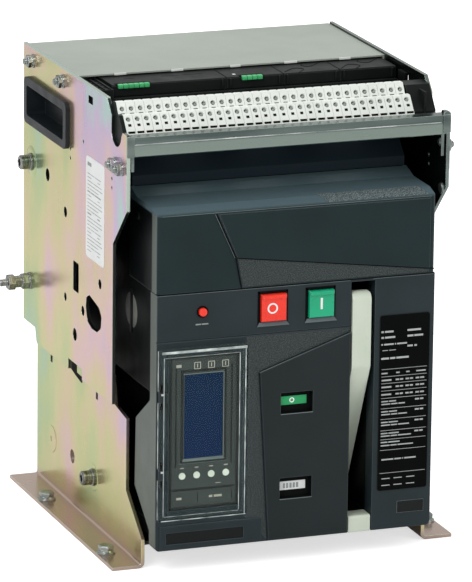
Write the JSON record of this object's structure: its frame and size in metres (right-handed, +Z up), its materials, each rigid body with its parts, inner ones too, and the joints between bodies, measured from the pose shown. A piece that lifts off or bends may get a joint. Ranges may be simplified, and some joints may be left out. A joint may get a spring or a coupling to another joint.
{
  "type": "low voltage draw-out air circuit breaker in its chassis",
  "caption": "Draw-out low voltage air circuit breaker in a zinc plated chassis with terminal strip, push buttons, charging lever, electronic controller and rear terminals.",
  "frame": {"origin": "on the underside of the base pan, on the centre plane, halfway along the feet", "axes": "+X to the right seen from the front, +Y to the back, +Z up; the front panel faces -Y"},
  "size_m": [0.3204, 0.35, 0.389],
  "materials": {
    "passivated_zinc": "yellow passivated zinc sheet, satin",
    "zinc_rail": "zinc plated, satin",
    "bright_steel": "turned and plated steel, satin",
    "black_moulding": "dark grey filled polyester, fine texture",
    "module_black": "black polyamide, smooth",
    "controller_grey": "dark grey polycarbonate, satin",
    "display_blue": "dark blue display window, gloss",
    "key_white": "light grey keys, satin",
    "nameplate_black": "black printed film",
    "terminal_white": "off white polyamide",
    "cover_grey": "pale grey green coated sheet, satin",
    "pale_handle": "pale grey green moulded plastic",
    "flag_plastic": "printed indicator flags",
    "copper_silver": "silver plated copper",
    "button_red": "red, gloss",
    "button_green": "green, gloss",
    "clear_cover": "clear polycarbonate"
  },
  "bodies": {
    "chassis": {"left_side_plate": "passivated_zinc", "right_side_plate": "passivated_zinc", "left_foot": "passivated_zinc", "right_foot": "passivated_zinc", "anchor_bolts": "bright_steel", "plate_spacers": "zinc_rail", "base_pan": "zinc_rail", "guide_rails": "zinc_rail", "rear_contact_base": "black_moulding", "lower_terminals": "copper_silver", "upper_terminals": "copper_silver", "top_cover": "cover_grey", "accessory_shelf": "black_moulding", "motor_module": "module_black", "auxiliary_module": "module_black", "spare_module_1": "module_black", "spare_module_2": "module_black", "end_bracket": "module_black", "terminal_strip": "terminal_white", "strip_end_block": "module_black", "cross_rail": "zinc_rail", "left_grip": "black_moulding", "right_grip": "black_moulding", "guide_bosses": "bright_steel", "interlock_stud": "bright_steel", "plate_bolts": "bright_steel"},
    "breaker": {"breaker_case": "black_moulding", "lower_front_cover": "black_moulding", "upper_front_cover": "black_moulding", "middle_panel": "black_moulding", "indicator_flags": "flag_plastic", "nameplate": "nameplate_black", "lower_left_panel": "black_moulding", "controller_unit": "controller_grey", "controller_display": "display_blue", "controller_keys": "key_white", "handle_rest": "pale_handle", "hinge_pins": "bright_steel", "lower_jaws": "copper_silver", "upper_jaws": "copper_silver"},
    "controller_lid": {"controller_cover": "clear_cover"},
    "charging_lever": {"charging_handle": "pale_handle"},
    "off_cap": {"off_button": "button_red"},
    "on_cap": {"on_button": "button_green"},
    "reset_cap": {"reset_button": "button_red"}
  },
  "joints": [
    {"name": "breaker_withdrawal", "type": "slide", "parent": "chassis", "child": "breaker", "axis": [0, -1, 0], "range_m": [0, 0.045]},
    {"name": "off_button_press", "type": "slide", "parent": "breaker", "child": "off_cap", "axis": [0, 1, 0], "range_m": [0, 0.004], "stiffness_N_per_m": 1500, "springref_m": -0.002},
    {"name": "on_button_press", "type": "slide", "parent": "breaker", "child": "on_cap", "axis": [0, 1, 0], "range_m": [0, 0.004], "stiffness_N_per_m": 1500, "springref_m": -0.002},
    {"name": "reset_button_press", "type": "slide", "parent": "breaker", "child": "reset_cap", "axis": [0, 1, 0], "range_m": [0, 0.0025], "stiffness_N_per_m": 800, "springref_m": -0.001},
    {"name": "charging_handle_pull", "type": "hinge", "parent": "breaker", "child": "charging_lever", "pos_m": [0.05705, -0.1005, 0.05], "axis": [1, 0, 0], "range_deg": [0, 60], "stiffness_Nm_per_rad": 1.2, "springref_deg": -17.19},
    {"name": "controller_cover_swing", "type": "hinge", "parent": "breaker", "child": "controller_lid", "pos_m": [-0.1178, -0.1623, 0.1199], "axis": [0, 0, -1], "range_deg": [0, 115]}
  ]
}
